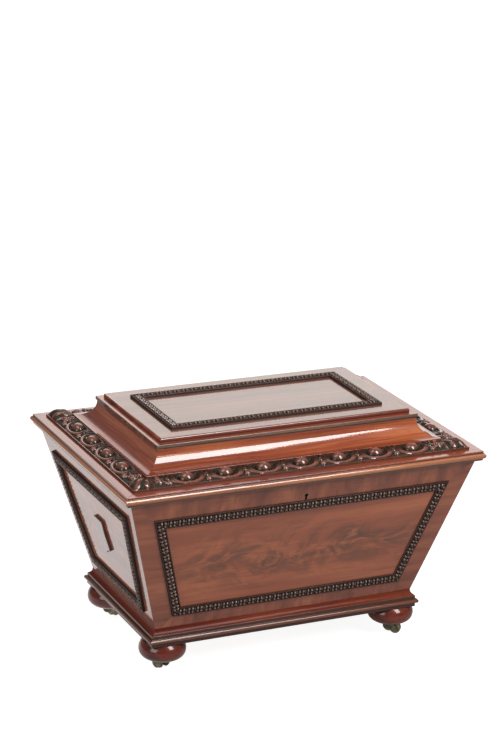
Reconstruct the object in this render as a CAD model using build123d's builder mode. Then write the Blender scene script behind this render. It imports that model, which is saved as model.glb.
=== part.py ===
from build123d import *
import os
from math import cos, hypot, radians, sin

# A mahogany wine cooler of sarcophagus form: a splayed carcase lined with lead, on bun feet and brass
# castors, under a coved lid that opens on two stopped butt hinges and is held by a link lock.
# Millimetres. The origin is on the floor under the middle of the lid, +X along the length to the
# right, +Y to the back and +Z up.

# Overall outline: the lid's nosing is the largest rectangle
lid_length = 760
lid_depth = 520
nosing_x = lid_length / 2
nosing_y = lid_depth / 2

# Heights from the floor
bun_bottom = 27
plinth_bottom = 65
carcase_bottom = 101
joint_height = 394
lid_rail_top = 413.5
cove_top = 463
step_height = 471.5
lid_top = 479.5

# Splayed carcase boards: half sizes of the outer faces, and thickness measured level
carcase_top_x = 364.8
carcase_top_y = 244.8
carcase_base_x = 278.3
carcase_base_y = 165
board = 19
carcase_rise = joint_height - carcase_bottom
splay_x = (carcase_top_x - carcase_base_x) / carcase_rise
splay_y = (carcase_top_y - carcase_base_y) / carcase_rise
bottom_thickness = 12

# Lead lining
lining_gap = 0.5
lead = 2.5
lining_top = 388

# Plinth moulding and the blocks inside its corners
plinth_x = 292
plinth_y = 179
plinth_width = 26
block_size = 70

# Bun feet
foot_inset = 42
bun_radius = 46.5
spigot_radius = 11
spigot_height = 25

# Castors: the wheel trails the swivel by castor_trail, turned by an angle of its own at each corner
plate_radius = 14
plate_thickness = 2
fork_top = 24.8
wheel_radius = 11
wheel_width = 12
castor_trail = 13
pintle_radius = 3
axle_radius = 2
running_fit = 0.05
castor_turn = {"front_left": 107, "front_right": -40, "back_left": 15, "back_right": 60}

# Bead moulding that frames the panels
bead_width = 19.5
bead_height = 6
veneer = 1
frame_top = 352.5
frame_bottom = 126
frame_margin_front = 40
frame_margin_end = 37
frame_margin_lid = 40
hairline = 0.05

# Egg-and-dart border: sizes of its forms, where their middles lie as insets from the nosing, and
# their heights over the rail
egg_pitch = 79.5
egg_count = {"front": 7, "back": 7, "left": 4, "right": 4}
egg_radius = 12.5
egg_rise = 11
egg_inset = 49
egg_base = 7
collar_inset = 47.5
collar_half_length = 32
collar_half_width = 20
collar_thickness = 6.5
collar_middle = 11
collar_slope = 12
pearl_radius = 5.6
pearl_inset = 36.5
pearl_base = 4.5
leaf_radius = 30
leaf_rise = 17
leaf_inset = 47
scroll_radius = 12
scroll_rise = 6
scroll_inset = 47.5
scroll_along = 84
scroll_base = 7

# Lid sections, as insets from the nosing
rail_inner = 118
border_outer = 25.5
border_inner = 66
cove_radius = 36
step_inset = 101.5
top_inset = 114.3

# Butt hinges: the pin lies just behind the back edge, level with the joint
hinge_x = 230
hinge_length = 64
pin_y = carcase_top_y + 1.2
pin_radius = 1.5
knuckle_radius = 4
knuckle_gap = 0.3
leaf_thickness = 2
leaf_front = 229
middle_knuckle = 21.6

# Link lock, its case let into the top edge of the front board
keyhole_drop = 31
keyhole_radius = 2.9
keyhole_slot = 2.6
keyhole_length = 9.9
escutcheon_wall = 0.9
escutcheon_depth = 4.5
lock_setback = 4.5
lock_thickness = 10
lock_wall = 1.2
lock_left = -38
lock_right = 30
lock_depth = 42
above_joint = -5
selvedge_length = lock_right - lock_left + 12
selvedge_thickness = 2.2
selvedge_width = 14
selvedge_y = -235.3
bolt_thickness = 3
bolt_clearance = 0.1
bar_top = 16
bar_bottom = 24
bolt_travel = 5
hook_x = 18
hook_y = -232.2
hook_thickness = 2.4
hook_drop = 12
link_plate_length = 66
link_plate_width = 12

# Shield-shaped tablet on each end
tablet_thickness = 5
tablet_top_drop = 122
tablet_corner_drop = 188
tablet_tip_drop = 200
tablet_half_width = 24

OUTWARD = {"front": (0, -1), "back": (0, 1), "left": (-1, 0), "right": (1, 0)}
CORNERS = {"front_left": (-1, -1), "front_right": (1, -1), "back_left": (-1, 1), "back_right": (1, 1)}

os.makedirs("parts", exist_ok=True)


def keep(piece, name):
    """Label a finished piece and write it out."""
    piece.part.label = name
    export_step(piece.part, f"parts/{name}.step")


def section_plane(side, half_x, half_y):
    """Upright plane across one side: local x runs inwards from the outline, local y is the height."""
    ox, oy = OUTWARD[side]
    return Plane(origin=(ox * half_x, oy * half_y, 0), x_dir=(-ox, -oy, 0), z_dir=(-oy, ox, 0))


def cut_mitres(side, half_x, half_y, height=0, rise_x=0, rise_y=0):
    """Cut both ends of a length on the planes that hold the corner's edge and its level diagonal."""
    facing = 1 if side in ("left", "right") else -1
    for end in (-1, 1):
        if facing == 1:
            sx, sy = OUTWARD[side][0], end
        else:
            sx, sy = end, OUTWARD[side][1]
        joint = Plane(
            origin=(sx * half_x, sy * half_y, height),
            z_dir=(facing * sx, -facing * sy, facing * (rise_y - rise_x)),
        )
        split(bisect_by=joint, keep=Keep.TOP)


def mitred_length(side, half_x, half_y, draw_profile):
    """One side of a moulded rectangle: a profile run along it and mitred at both corners."""
    with BuildPart() as length:
        with BuildSketch(section_plane(side, half_x, half_y)):
            with BuildLine():
                draw_profile()
            make_face()
        extrude(amount=half_x + half_y, both=True)
        cut_mitres(side, half_x, half_y)
    return length


def face_plane(side):
    """Plane on the outer face of a carcase board: local y climbs the slope, local z points out."""
    ox, oy = OUTWARD[side]
    rise = splay_x if ox else splay_y
    reach = carcase_top_x if ox else carcase_top_y
    return Plane(
        origin=(ox * reach, oy * reach, joint_height), x_dir=(-oy, ox, 0), z_dir=(ox, oy, -rise)
    )


def splayed_board(side):
    """A carcase board: a slanting section run along the side, with compound mitres at its ends."""
    run = (splay_x if OUTWARD[side][0] else splay_y) * carcase_rise
    with BuildSketch(section_plane(side, carcase_top_x, carcase_top_y)) as section:
        with BuildLine():
            Polyline(
                (0, joint_height),
                (board, joint_height),
                (board + run, carcase_bottom),
                (run, carcase_bottom),
                close=True,
            )
        make_face()
    extrude(section.sketch, amount=carcase_top_x + carcase_top_y, both=True)
    cut_mitres(side, carcase_top_x, carcase_top_y, joint_height, splay_x, splay_y)


def rectangle_inside(height, inset):
    """A level rectangle set in from the carcase's outer faces at one height."""
    drop = joint_height - height
    Rectangle(
        2 * (carcase_top_x - splay_x * drop - inset),
        2 * (carcase_top_y - splay_y * drop - inset),
    )


def keyhole_outline(wall=0, mode=Mode.ADD):
    """Round eye with a slot below it."""
    reach = keyhole_length + wall
    with Locations((0, -keyhole_drop)):
        Circle(keyhole_radius + wall, mode=mode)
    with Locations((0, -keyhole_drop - reach / 2)):
        Rectangle(keyhole_slot + 2 * wall, reach, mode=mode)


def lock_block(left, right, top, bottom, thickness, mode):
    """A block in the lock's own plane: drops are measured down the slope from the top edge."""
    middle = face_plane("front").offset(-(lock_setback + lock_thickness / 2))
    with BuildSketch(middle) as outline:
        with Locations(((left + right) / 2, -(top + bottom) / 2)):
            Rectangle(right - left, bottom - top)
    extrude(outline.sketch, amount=thickness / 2, both=True, mode=mode)


def selvedge_block(mode):
    """The lock's top plate, level with the board's top edge."""
    with BuildSketch(Plane.XY.offset(joint_height)) as outline:
        with Locations(((lock_left + lock_right) / 2, selvedge_y)):
            Rectangle(selvedge_length, selvedge_width)
    extrude(outline.sketch, amount=-selvedge_thickness, mode=mode)


def knuckle(x, length, radius, mode):
    """A round along the hinge's axis, centred at x."""
    with BuildSketch(Plane.YZ.offset(x)) as end:
        with Locations((pin_y, joint_height)):
            Circle(radius)
    extrude(end.sketch, amount=length / 2, both=True, mode=mode)


def hinge_recess(leaf_amount):
    """Recesses for both hinges: a flat one for the leaf and a round one for the knuckles."""
    for x in (-hinge_x, hinge_x):
        with BuildSketch(Plane.XY.offset(joint_height)) as flat:
            with Locations((x, (leaf_front + pin_y) / 2)):
                Rectangle(hinge_length, pin_y - leaf_front)
        extrude(flat.sketch, amount=leaf_amount, mode=Mode.SUBTRACT)
        knuckle(x, hinge_length + 2 * knuckle_gap, knuckle_radius + knuckle_gap, Mode.SUBTRACT)


def panel_frame_corners(side):
    """Outer corners of a panel's frame, anticlockwise seen from outside, in the face's plane."""
    across = splay_y if OUTWARD[side][0] else splay_x
    rise = splay_x if OUTWARD[side][0] else splay_y
    margin = frame_margin_end if OUTWARD[side][0] else frame_margin_front
    half_top = carcase_top_y if OUTWARD[side][0] else carcase_top_x
    slope = hypot(1, rise)
    corners = []
    for height, ends in ((frame_bottom, (-1, 1)), (frame_top, (1, -1))):
        drop = joint_height - height
        half = half_top - across * drop - margin
        corners += [(end * half, -drop * slope) for end in ends]
    return corners


def veneer_gap(plane, corners):
    """The gap between inner and outer veneers that a bead frame is laid in."""
    with BuildSketch(plane) as gap:
        with BuildLine():
            Polyline(*corners, close=True)
        make_face()
        offset(amount=hairline, kind=Kind.INTERSECTION)
        with BuildLine():
            Polyline(*corners, close=True)
        inner = make_face(mode=Mode.PRIVATE)
        offset(inner, amount=-(bead_width + hairline), kind=Kind.INTERSECTION, mode=Mode.SUBTRACT)
    extrude(gap.sketch, amount=-veneer, mode=Mode.SUBTRACT)


# Carcase boards
for side in OUTWARD:
    with BuildPart() as panel:
        splayed_board(side)
        veneer_gap(face_plane(side), panel_frame_corners(side))
        if side == "front":
            lock_block(lock_left, lock_right, above_joint, lock_depth, lock_thickness, Mode.SUBTRACT)
            selvedge_block(Mode.SUBTRACT)
            with BuildSketch(face_plane("front")):
                keyhole_outline(escutcheon_wall)
            extrude(amount=-escutcheon_depth, mode=Mode.SUBTRACT)
        if side == "back":
            hinge_recess(-leaf_thickness)
    keep(panel, f"{side}_panel" if side in ("front", "back") else f"{side}_end_panel")

with BuildPart() as bottom_board:
    with BuildSketch(Plane.XY.offset(carcase_bottom)):
        rectangle_inside(carcase_bottom, board)
    with BuildSketch(Plane.XY.offset(carcase_bottom + bottom_thickness)):
        rectangle_inside(carcase_bottom + bottom_thickness, board)
    loft()
keep(bottom_board, "bottom_board")

# Lead lining: an open tray that follows the slope of the boards
lining_floor = carcase_bottom + bottom_thickness
with BuildPart() as lead_lining:
    for height in (lining_floor, lining_top):
        with BuildSketch(Plane.XY.offset(height)):
            rectangle_inside(height, board + lining_gap)
    loft()
    for height in (lining_floor + lead, lining_top):
        with BuildSketch(Plane.XY.offset(height)):
            rectangle_inside(height, board + lining_gap + lead)
    loft(mode=Mode.SUBTRACT)
keep(lead_lining, "lead_lining")


# Plinth: cavetto, fascia, torus and fillet
def plinth_profile():
    cavetto_foot = (6.2, 88)
    torus_top, torus_bottom = 81.5, 72.2
    torus_middle = (torus_top + torus_bottom) / 2
    Polyline((plinth_width, carcase_bottom), (13.7, carcase_bottom))
    RadiusArc((13.7, carcase_bottom), cavetto_foot, 13)
    Polyline(cavetto_foot, (5.6, 88), (5.6, torus_top), (4.4, torus_top))
    ThreePointArc((4.4, torus_top), (0, torus_middle), (4.4, torus_bottom))
    Polyline(
        (4.4, torus_bottom),
        (5.2, torus_bottom),
        (5.2, plinth_bottom),
        (plinth_width, plinth_bottom),
        (plinth_width, carcase_bottom),
    )


for side in OUTWARD:
    plinth_length = mitred_length(side, plinth_x, plinth_y, plinth_profile)
    keep(plinth_length, f"plinth_{side}")

foot_x = plinth_x - foot_inset
foot_y = plinth_y - foot_inset
block_x = plinth_x - plinth_width - block_size / 2
block_y = plinth_y - plinth_width - block_size / 2
with BuildPart() as corner_blocks:
    with BuildSketch(Plane.XY.offset(plinth_bottom)):
        with GridLocations(2 * block_x, 2 * block_y, 2, 2):
            Rectangle(block_size, block_size)
        with GridLocations(2 * foot_x, 2 * foot_y, 2, 2):
            Circle(spigot_radius, mode=Mode.SUBTRACT)
    extrude(amount=carcase_bottom - plinth_bottom)
keep(corner_blocks, "corner_blocks")


# Bun feet and castors
def upright_axis(x, y):
    return Axis((x, y, 0), (0, 0, 1))


def turned_plane(corner, angle=0):
    """Upright plane through a foot's centre, turned about it: local x is level, local y is height."""
    sx, sy = CORNERS[corner]
    turn = radians(angle)
    return Plane(
        origin=(sx * foot_x, sy * foot_y, 0),
        x_dir=(cos(turn), sin(turn), 0),
        z_dir=(sin(turn), -cos(turn), 0),
    )


def bun_foot(corner):
    sx, sy = CORNERS[corner]
    pocket_radius, pocket_top = 5.5, 36
    shoulder = (39, plinth_bottom)
    widest = (bun_radius, 48)
    underside = (25, bun_bottom)
    with BuildPart() as foot:
        with BuildSketch(turned_plane(corner)):
            with BuildLine():
                Polyline((pocket_radius, bun_bottom), underside)
                Spline(underside, widest, shoulder, tangents=((1, 0.16), (-0.9, 1)))
                Polyline(
                    shoulder,
                    (spigot_radius, plinth_bottom),
                    (spigot_radius, plinth_bottom + spigot_height),
                    (0, plinth_bottom + spigot_height),
                    (0, pocket_top),
                    (pocket_radius, pocket_top),
                    (pocket_radius, bun_bottom),
                )
            make_face()
        revolve(axis=upright_axis(sx * foot_x, sy * foot_y))
    return foot


def castor_plate(corner):
    """Flat ring under the bun; the fork's pintle turns in it."""
    sx, sy = CORNERS[corner]
    with BuildPart() as plate:
        with BuildSketch(Plane.XY.offset(bun_bottom - plate_thickness)):
            with Locations((sx * foot_x, sy * foot_y)):
                Circle(plate_radius)
                Circle(pintle_radius + running_fit, mode=Mode.SUBTRACT)
        extrude(amount=plate_thickness)
    return plate


def castor_fork(corner):
    """Cup-shaped horns cut from one profile by another, with the axle across and a headed pintle."""
    sx, sy = CORNERS[corner]
    side_view = turned_plane(corner, castor_turn[corner])
    end_view = turned_plane(corner, castor_turn[corner] + 90)
    crown_radius, crown_drop, horn_radius = 11, 8, 4.5
    crown_half, waist_half, horn_half = 13.2, 11.4, 8.7
    wheel_room = 0.4
    slot_width = wheel_width + 2 * wheel_room
    slot_top = 2 * wheel_radius + wheel_room
    head_radius, head_low, head_high = 4.5, bun_bottom + 0.3, bun_bottom + 2.3
    with BuildPart() as fork:
        with BuildSketch(side_view):
            with Locations((0, fork_top - crown_drop)):
                Circle(crown_radius)
            with Locations((castor_trail, wheel_radius)):
                Circle(horn_radius)
            make_hull()
        extrude(amount=crown_half, both=True)
        with BuildSketch(end_view):
            with BuildLine():
                Polyline((0, 0), (horn_half, 0), (horn_half, wheel_radius))
                ThreePointArc((horn_half, wheel_radius), (waist_half, 18), (crown_half, fork_top))
                Line((crown_half, fork_top), (0, fork_top))
                mirror(about=Plane.YZ)
            make_face()
            with Locations((0, slot_top / 2)):
                Rectangle(slot_width, slot_top, mode=Mode.SUBTRACT)
        extrude(amount=castor_trail + crown_radius, both=True, mode=Mode.INTERSECT)
        with BuildSketch(side_view):
            with Locations((castor_trail, wheel_radius)):
                Circle(axle_radius)
        extrude(amount=horn_half + wheel_room, both=True)
        with BuildSketch(side_view):
            with BuildLine():
                Polyline(
                    (0, fork_top - 1),
                    (pintle_radius, fork_top - 1),
                    (pintle_radius, head_low),
                    (head_radius, head_low),
                    (head_radius, head_high),
                    (0, head_high),
                    close=True,
                )
            make_face()
        revolve(axis=upright_axis(sx * foot_x, sy * foot_y))
    return fork


def castor_wheel(corner):
    """Solid brass wheel with rounded tread corners, turning on the fork's axle."""
    side_view = turned_plane(corner, castor_turn[corner])
    centre = side_view.from_local_coords((castor_trail, wheel_radius, 0))
    half = wheel_width / 2
    with BuildPart() as wheel:
        with BuildSketch(Plane(origin=centre, x_dir=side_view.x_dir, z_dir=side_view.z_dir)):
            Circle(wheel_radius)
            Circle(axle_radius + running_fit, mode=Mode.SUBTRACT)
        extrude(amount=half, both=True)
        rims = wheel.edges().filter_by(GeomType.CIRCLE).group_by(SortBy.RADIUS)[-1]
        chamfer(rims, length=wheel_radius / 9)
    return wheel


for corner in CORNERS:
    keep(bun_foot(corner), f"bun_foot_{corner}")
    keep(castor_plate(corner), f"castor_plate_{corner}")
    keep(castor_fork(corner), f"castor_fork_{corner}")
    keep(castor_wheel(corner), f"castor_wheel_{corner}")


# Bead moulding round each panel
def bead_strip(plane, corners, index):
    """One strip of a frame: the moulding run between two corners and mitred on their bisectors."""
    before, here, there, after = (Vector(*corners[(index + step) % 4]) for step in (-1, 0, 1, 2))
    along = (there - here).normalized()
    inward = Vector(-along.Y, along.X)
    lip, near, far = 2.5, 3, bead_width - 3

    def to_world(direction):
        return plane.from_local_coords(direction) - plane.origin

    def mitre(corner, one, other):
        """Plane through a corner, along the panel's normal and halfway between its two edges."""
        bisector = (one - corner).normalized() + (other - corner).normalized()
        across = Vector(-bisector.Y, bisector.X)
        towards = (here + there) * 0.5 - corner
        if across.dot(towards) < 0:
            across = -across
        origin = corner + towards.normalized() * hairline
        return Plane(origin=plane.from_local_coords(origin), z_dir=to_world(across))

    with BuildPart() as strip:
        section = Plane(
            origin=plane.from_local_coords(here), x_dir=to_world(inward), z_dir=to_world(along)
        )
        with BuildSketch(section):
            with BuildLine():
                Polyline((near, lip), (0, lip), (0, -veneer), (bead_width, -veneer))
                Polyline((bead_width, -veneer), (bead_width, lip), (far, lip))
                ThreePointArc((far, lip), (bead_width / 2, bead_height), (near, lip))
            make_face()
        extrude(amount=(there - here).length)
        split(bisect_by=mitre(here, before, there), keep=Keep.TOP)
        split(bisect_by=mitre(there, here, after), keep=Keep.TOP)
    return strip.part


def bead_frame(plane, corners):
    strips = [bead_strip(plane, corners, index) for index in range(4)]
    with BuildPart() as frame:
        add(strips)
    return frame


for side in OUTWARD:
    keep(bead_frame(face_plane(side), panel_frame_corners(side)), f"{side}_bead_frame")


# Shield-shaped tablets on the ends
def end_tablet(side):
    waist = 20.5
    waist_drop = 142
    corner_round = 7
    half = tablet_half_width
    with BuildPart() as tablet:
        with BuildSketch(face_plane(side)) as shield:
            with BuildLine():
                Polyline((0, -tablet_top_drop), (half - 2, -tablet_top_drop))
                Line((half - 2, -tablet_top_drop), (half - 2, -tablet_top_drop - corner_round))
                Spline(
                    (half - 2, -tablet_top_drop - corner_round),
                    (waist, -waist_drop),
                    (half, -tablet_corner_drop),
                    tangents=((0, -1), (0, -1)),
                )
                ThreePointArc(
                    (half, -tablet_corner_drop),
                    (half * 0.45, -tablet_corner_drop - 3),
                    (0, -tablet_tip_drop),
                )
                mirror(about=Plane.YZ)
            make_face()
            fillet(shield.vertices().group_by(Axis.Y)[-1], radius=corner_round * 0.8)
        extrude(amount=tablet_thickness)
    return tablet


for side in ("left", "right"):
    keep(end_tablet(side), f"{side}_end_tablet")

# Link lock: case with its bolt, the escutcheon in the board and the link plate on the lid
hook_chamber = lock_thickness - 2 * lock_wall
bolt_slot = bolt_thickness + 2 * bolt_clearance
toe_reach = 4.5
toe_height = 3
shank_width = 4
hook_length = shank_width + toe_reach
hook_play = 0.8
key_pin_radius = 1.2
key_pin_setback = 0.7
arm_left = -15.4
arm_right = -11.9
claw_tip = -7.4
claw_top = 7
claw_bottom = 11.2
bolt_left = -hook_x + arm_left
bolt_right = hook_x - 8
chamber_left = bolt_left - 1
chamber_right = hook_x + hook_length / 2
slot_right = bolt_right + bolt_travel + 1

with BuildPart() as lock_case:
    lock_block(lock_left, lock_right, above_joint, lock_depth, lock_thickness, Mode.ADD)
    split(bisect_by=Plane.XY.offset(joint_height), keep=Keep.BOTTOM)
    lock_block(chamber_left, chamber_right, above_joint, bar_top, hook_chamber, Mode.SUBTRACT)
    slot_bottom = bar_bottom + bolt_clearance
    lock_block(chamber_left, slot_right, bar_top, slot_bottom, bolt_slot, Mode.SUBTRACT)
    selvedge_block(Mode.ADD)
    with BuildSketch(Plane.XY.offset(joint_height)):
        with Locations(*[(x - toe_reach / 2, hook_y) for x in (-hook_x, hook_x)]):
            Rectangle(hook_length + 2 * hook_play, hook_thickness + 2 * hook_play)
    extrude(amount=-(selvedge_thickness + 1), mode=Mode.SUBTRACT)
    with BuildSketch(face_plane("front").offset(-lock_setback)):
        keyhole_outline()
    extrude(amount=-(lock_thickness - lock_wall), mode=Mode.SUBTRACT)
    with BuildSketch(face_plane("front").offset(-lock_setback - key_pin_setback)):
        with Locations((0, -keyhole_drop)):
            Circle(key_pin_radius)
    extrude(amount=-(lock_thickness - lock_wall))
keep(lock_case, "lock_case")

with BuildPart() as lock_bolt:
    rubbing_edge = bar_top + bolt_clearance
    lock_block(bolt_left, bolt_right, rubbing_edge, bar_bottom, bolt_thickness, Mode.ADD)
    for x in (-hook_x, hook_x):
        lock_block(x + arm_left, x + arm_right, claw_top, bar_top + 1, bolt_thickness, Mode.ADD)
        lock_block(x + arm_left, x + claw_tip, claw_top, claw_bottom, bolt_thickness, Mode.ADD)
keep(lock_bolt, "lock_bolt")

with BuildPart() as keyhole_escutcheon:
    with BuildSketch(face_plane("front")):
        keyhole_outline(escutcheon_wall)
        keyhole_outline(mode=Mode.SUBTRACT)
    extrude(amount=-escutcheon_depth)
keep(keyhole_escutcheon, "keyhole_escutcheon")

with BuildPart() as link_plate:
    with BuildSketch(Plane.XY.offset(joint_height)):
        with Locations((0, hook_y)):
            Rectangle(link_plate_length, link_plate_width)
    extrude(amount=leaf_thickness)
    with BuildSketch(Plane.XZ.offset(-hook_y - hook_thickness / 2)):
        for x in (-hook_x, hook_x):
            with Locations((x, joint_height - hook_drop / 2)):
                Rectangle(shank_width, hook_drop)
            with Locations((x - toe_reach / 2, joint_height - hook_drop + toe_height / 2)):
                Rectangle(hook_length, toe_height)
    extrude(amount=hook_thickness)
keep(link_plate, "link_plate")


# Butt hinges
def hinge_leaf(x, on_lid):
    """A leaf with its knuckles: the lid's leaf has the middle one, the carcase's the outer two."""
    outer_length = (hinge_length - middle_knuckle) / 2 - knuckle_gap
    outer_shift = (middle_knuckle + outer_length) / 2 + knuckle_gap
    middle = [(x, middle_knuckle)]
    outer = [(x - outer_shift, outer_length), (x + outer_shift, outer_length)]
    own, other = (middle, outer) if on_lid else (outer, middle)
    with BuildPart() as leaf:
        with BuildSketch(Plane.XY.offset(joint_height)):
            with Locations((x, (leaf_front + pin_y) / 2)):
                Rectangle(hinge_length, pin_y - leaf_front)
        extrude(amount=leaf_thickness if on_lid else -leaf_thickness)
        for place, length in other:
            knuckle(place, length + 2 * knuckle_gap, knuckle_radius + knuckle_gap, Mode.SUBTRACT)
        for place, length in own:
            knuckle(place, length, knuckle_radius, Mode.ADD)
        fit = running_fit if on_lid else hairline / 5
        knuckle(x, hinge_length, pin_radius + fit, Mode.SUBTRACT)
    return leaf


def hinge_pin(x):
    with BuildPart() as pin:
        knuckle(x, hinge_length, pin_radius, Mode.ADD)
    return pin


for hand, x in (("left", -hinge_x), ("right", hinge_x)):
    keep(hinge_leaf(x, on_lid=False), f"{hand}_hinge_carcase_leaf")
    keep(hinge_leaf(x, on_lid=True), f"{hand}_hinge_lid_leaf")
    keep(hinge_pin(x), f"{hand}_hinge_pin")


# Lid
def rail_profile():
    """Nosing between two fillets, then the flat of the rail to its inner edge."""
    torus_bottom, torus_top = 397.8, 409.3
    Polyline(
        (4.5, torus_top),
        (4.5, lid_rail_top),
        (rail_inner, lid_rail_top),
        (rail_inner, joint_height),
        (5, joint_height),
        (5, torus_bottom),
    )
    ThreePointArc((5, torus_bottom), (0, (torus_bottom + torus_top) / 2), (4.5, torus_top))


def border_profile():
    """The carving's sunk ground, swelling up from a raised rim to the cove."""
    rim_top, rim_width = 4.3, 2.2
    low = (border_outer + rim_width + 0.8, lid_rail_top + 2.2)
    high = (border_inner, lid_rail_top + 9.4)
    Polyline(
        high,
        (border_inner, lid_rail_top),
        (border_outer, lid_rail_top),
        (border_outer, lid_rail_top + rim_top),
        (border_outer + rim_width, lid_rail_top + rim_top),
        low,
    )
    ThreePointArc(low, (border_outer + 17, lid_rail_top + 6.9), high)


def border_room():
    """All that the carving may fill: from the rail up, between the rim and the cove."""
    highest = cove_top
    Polyline(
        (border_outer, lid_rail_top),
        (border_inner, lid_rail_top),
        (border_inner, highest),
        (border_outer, highest),
        close=True,
    )


def border_plane(side, along, inset, height):
    """Level plane on the border: local x runs along the side and local y outwards."""
    ox, oy = OUTWARD[side]
    out = (nosing_x if ox else nosing_y) - inset
    origin = (ox * out - oy * along, oy * out + ox * along, lid_rail_top + height)
    return Plane(origin=origin, x_dir=(oy, -ox, 0), z_dir=(0, 0, 1))


def domed_boss(plane, radius, rise):
    """A round boss standing on a level plane: the cap of a ball."""
    ball_radius = (radius**2 + rise**2) / (2 * rise)
    with Locations(plane.origin + Vector(0, 0, rise - ball_radius)):
        Sphere(ball_radius)


def egg_collars(side, places):
    """The raised collars round a side's eggs: oval rings on a plane that slopes outwards."""
    sloped = border_plane(side, 0, collar_inset, collar_middle) * Rotation(-collar_slope, 0, 0)
    with BuildSketch(sloped) as rings:
        with Locations(*[(-along, 0) for along in places]):
            Ellipse(collar_half_length, collar_half_width)
            Ellipse(
                collar_half_length - collar_thickness,
                collar_half_width - collar_thickness,
                mode=Mode.SUBTRACT,
            )
    extrude(rings.sketch, amount=-collar_middle)


def border_carving(side):
    """Eggs in their collars, pearls between them, a scroll and half a leaf at each end."""
    count = egg_count[side]
    half_run = nosing_x if OUTWARD[side][1] else nosing_y
    egg_places = [(index - (count - 1) / 2) * egg_pitch for index in range(count)]
    pearl_places = [(index - count / 2) * egg_pitch for index in range(count + 1)]
    with BuildPart() as carving:
        egg_collars(side, egg_places)
        for along in egg_places:
            domed_boss(border_plane(side, along, egg_inset, egg_base), egg_radius, egg_rise)
        for along in pearl_places:
            domed_boss(border_plane(side, along, pearl_inset, pearl_base), pearl_radius, pearl_radius)
        for hand in (-1, 1):
            along = hand * (half_run - scroll_along)
            domed_boss(border_plane(side, along, scroll_inset, scroll_base), scroll_radius, scroll_rise)
            along = hand * (half_run - leaf_inset)
            domed_boss(border_plane(side, along, leaf_inset, 0), leaf_radius, leaf_rise)
        add(mitred_length(side, nosing_x, nosing_y, border_room).part, mode=Mode.INTERSECT)
    return carving


def cove_profile():
    """Hollow quarter round under the top board, rising from a narrow lip."""
    foot = cove_top - cove_radius
    lip = border_inner + 2
    Polyline(
        (border_inner, foot),
        (border_inner, lid_rail_top),
        (rail_inner, lid_rail_top),
        (rail_inner, cove_top),
        (lip + cove_radius, cove_top),
    )
    ThreePointArc(
        (lip + cove_radius, cove_top),
        (lip + cove_radius * sin(radians(45)), cove_top - cove_radius * cos(radians(45))),
        (lip, foot),
    )
    Line((lip, foot), (border_inner, foot))


for side in OUTWARD:
    with BuildPart() as lid_rail:
        add(mitred_length(side, nosing_x, nosing_y, rail_profile).part)
        if side == "back":
            hinge_recess(leaf_thickness)
        if side == "front":
            with BuildSketch(Plane.XY.offset(joint_height)):
                with Locations((0, hook_y)):
                    Rectangle(link_plate_length, link_plate_width)
            extrude(amount=leaf_thickness, mode=Mode.SUBTRACT)
    keep(lid_rail, f"lid_rail_{side}")
    keep(mitred_length(side, nosing_x, nosing_y, cove_profile), f"lid_cove_{side}")
    with BuildPart() as carved_border:
        add(mitred_length(side, nosing_x, nosing_y, border_profile).part)
        add(border_carving(side).part)
    keep(carved_border, f"carved_border_{side}")

with BuildPart() as lid_top_board:
    with BuildSketch(Plane.XY.offset(cove_top)):
        Rectangle(lid_length - 2 * step_inset, lid_depth - 2 * step_inset)
    extrude(amount=step_height - cove_top)
    fillet(lid_top_board.faces().sort_by(Axis.Z)[-1].edges(), radius=1.2)
    chamfer(lid_top_board.faces().sort_by(Axis.Z)[0].edges(), length=1.8)
keep(lid_top_board, "lid_top_board")

frame_x = nosing_x - top_inset - frame_margin_lid
frame_y = nosing_y - top_inset - frame_margin_lid
lid_frame_corners = [(-frame_x, -frame_y), (frame_x, -frame_y), (frame_x, frame_y), (-frame_x, frame_y)]
with BuildPart() as lid_top_panel:
    with BuildSketch(Plane.XY.offset(step_height)):
        Rectangle(lid_length - 2 * top_inset, lid_depth - 2 * top_inset)
    extrude(amount=lid_top - step_height)
    fillet(lid_top_panel.faces().sort_by(Axis.Z)[-1].edges(), radius=3.2)
    veneer_gap(Plane.XY.offset(lid_top), lid_frame_corners)
keep(lid_top_panel, "lid_top_panel")

keep(bead_frame(Plane.XY.offset(lid_top), lid_frame_corners), "lid_bead_frame")
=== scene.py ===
from contextlib import contextmanager
from math import cos, hypot, pi, radians, sin

import bmesh
import bpy
import numpy as np
from mathutils import Matrix, Vector


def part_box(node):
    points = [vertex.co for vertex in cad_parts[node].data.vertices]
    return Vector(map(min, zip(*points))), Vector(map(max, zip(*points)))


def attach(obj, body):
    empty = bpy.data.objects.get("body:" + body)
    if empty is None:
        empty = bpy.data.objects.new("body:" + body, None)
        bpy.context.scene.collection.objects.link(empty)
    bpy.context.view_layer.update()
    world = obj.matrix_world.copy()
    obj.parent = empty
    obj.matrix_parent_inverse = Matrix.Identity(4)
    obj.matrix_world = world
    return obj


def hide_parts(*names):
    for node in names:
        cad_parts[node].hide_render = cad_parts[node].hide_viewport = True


# A mahogany wine cooler, dressed over its CAD frame. Blender works in metres; millimetres are given times MM
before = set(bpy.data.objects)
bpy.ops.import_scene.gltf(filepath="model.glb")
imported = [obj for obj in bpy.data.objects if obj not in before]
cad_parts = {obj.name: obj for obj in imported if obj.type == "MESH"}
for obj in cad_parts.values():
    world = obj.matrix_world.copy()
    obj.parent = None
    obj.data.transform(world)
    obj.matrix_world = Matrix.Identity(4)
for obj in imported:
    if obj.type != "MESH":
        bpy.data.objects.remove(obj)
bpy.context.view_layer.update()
MM = 0.001


def corners_of(node):
    """A CAD node's lowest and highest corners, in millimetres to a tenth."""
    return [[round(c / MM, 1) for c in corner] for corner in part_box(node)]


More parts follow.
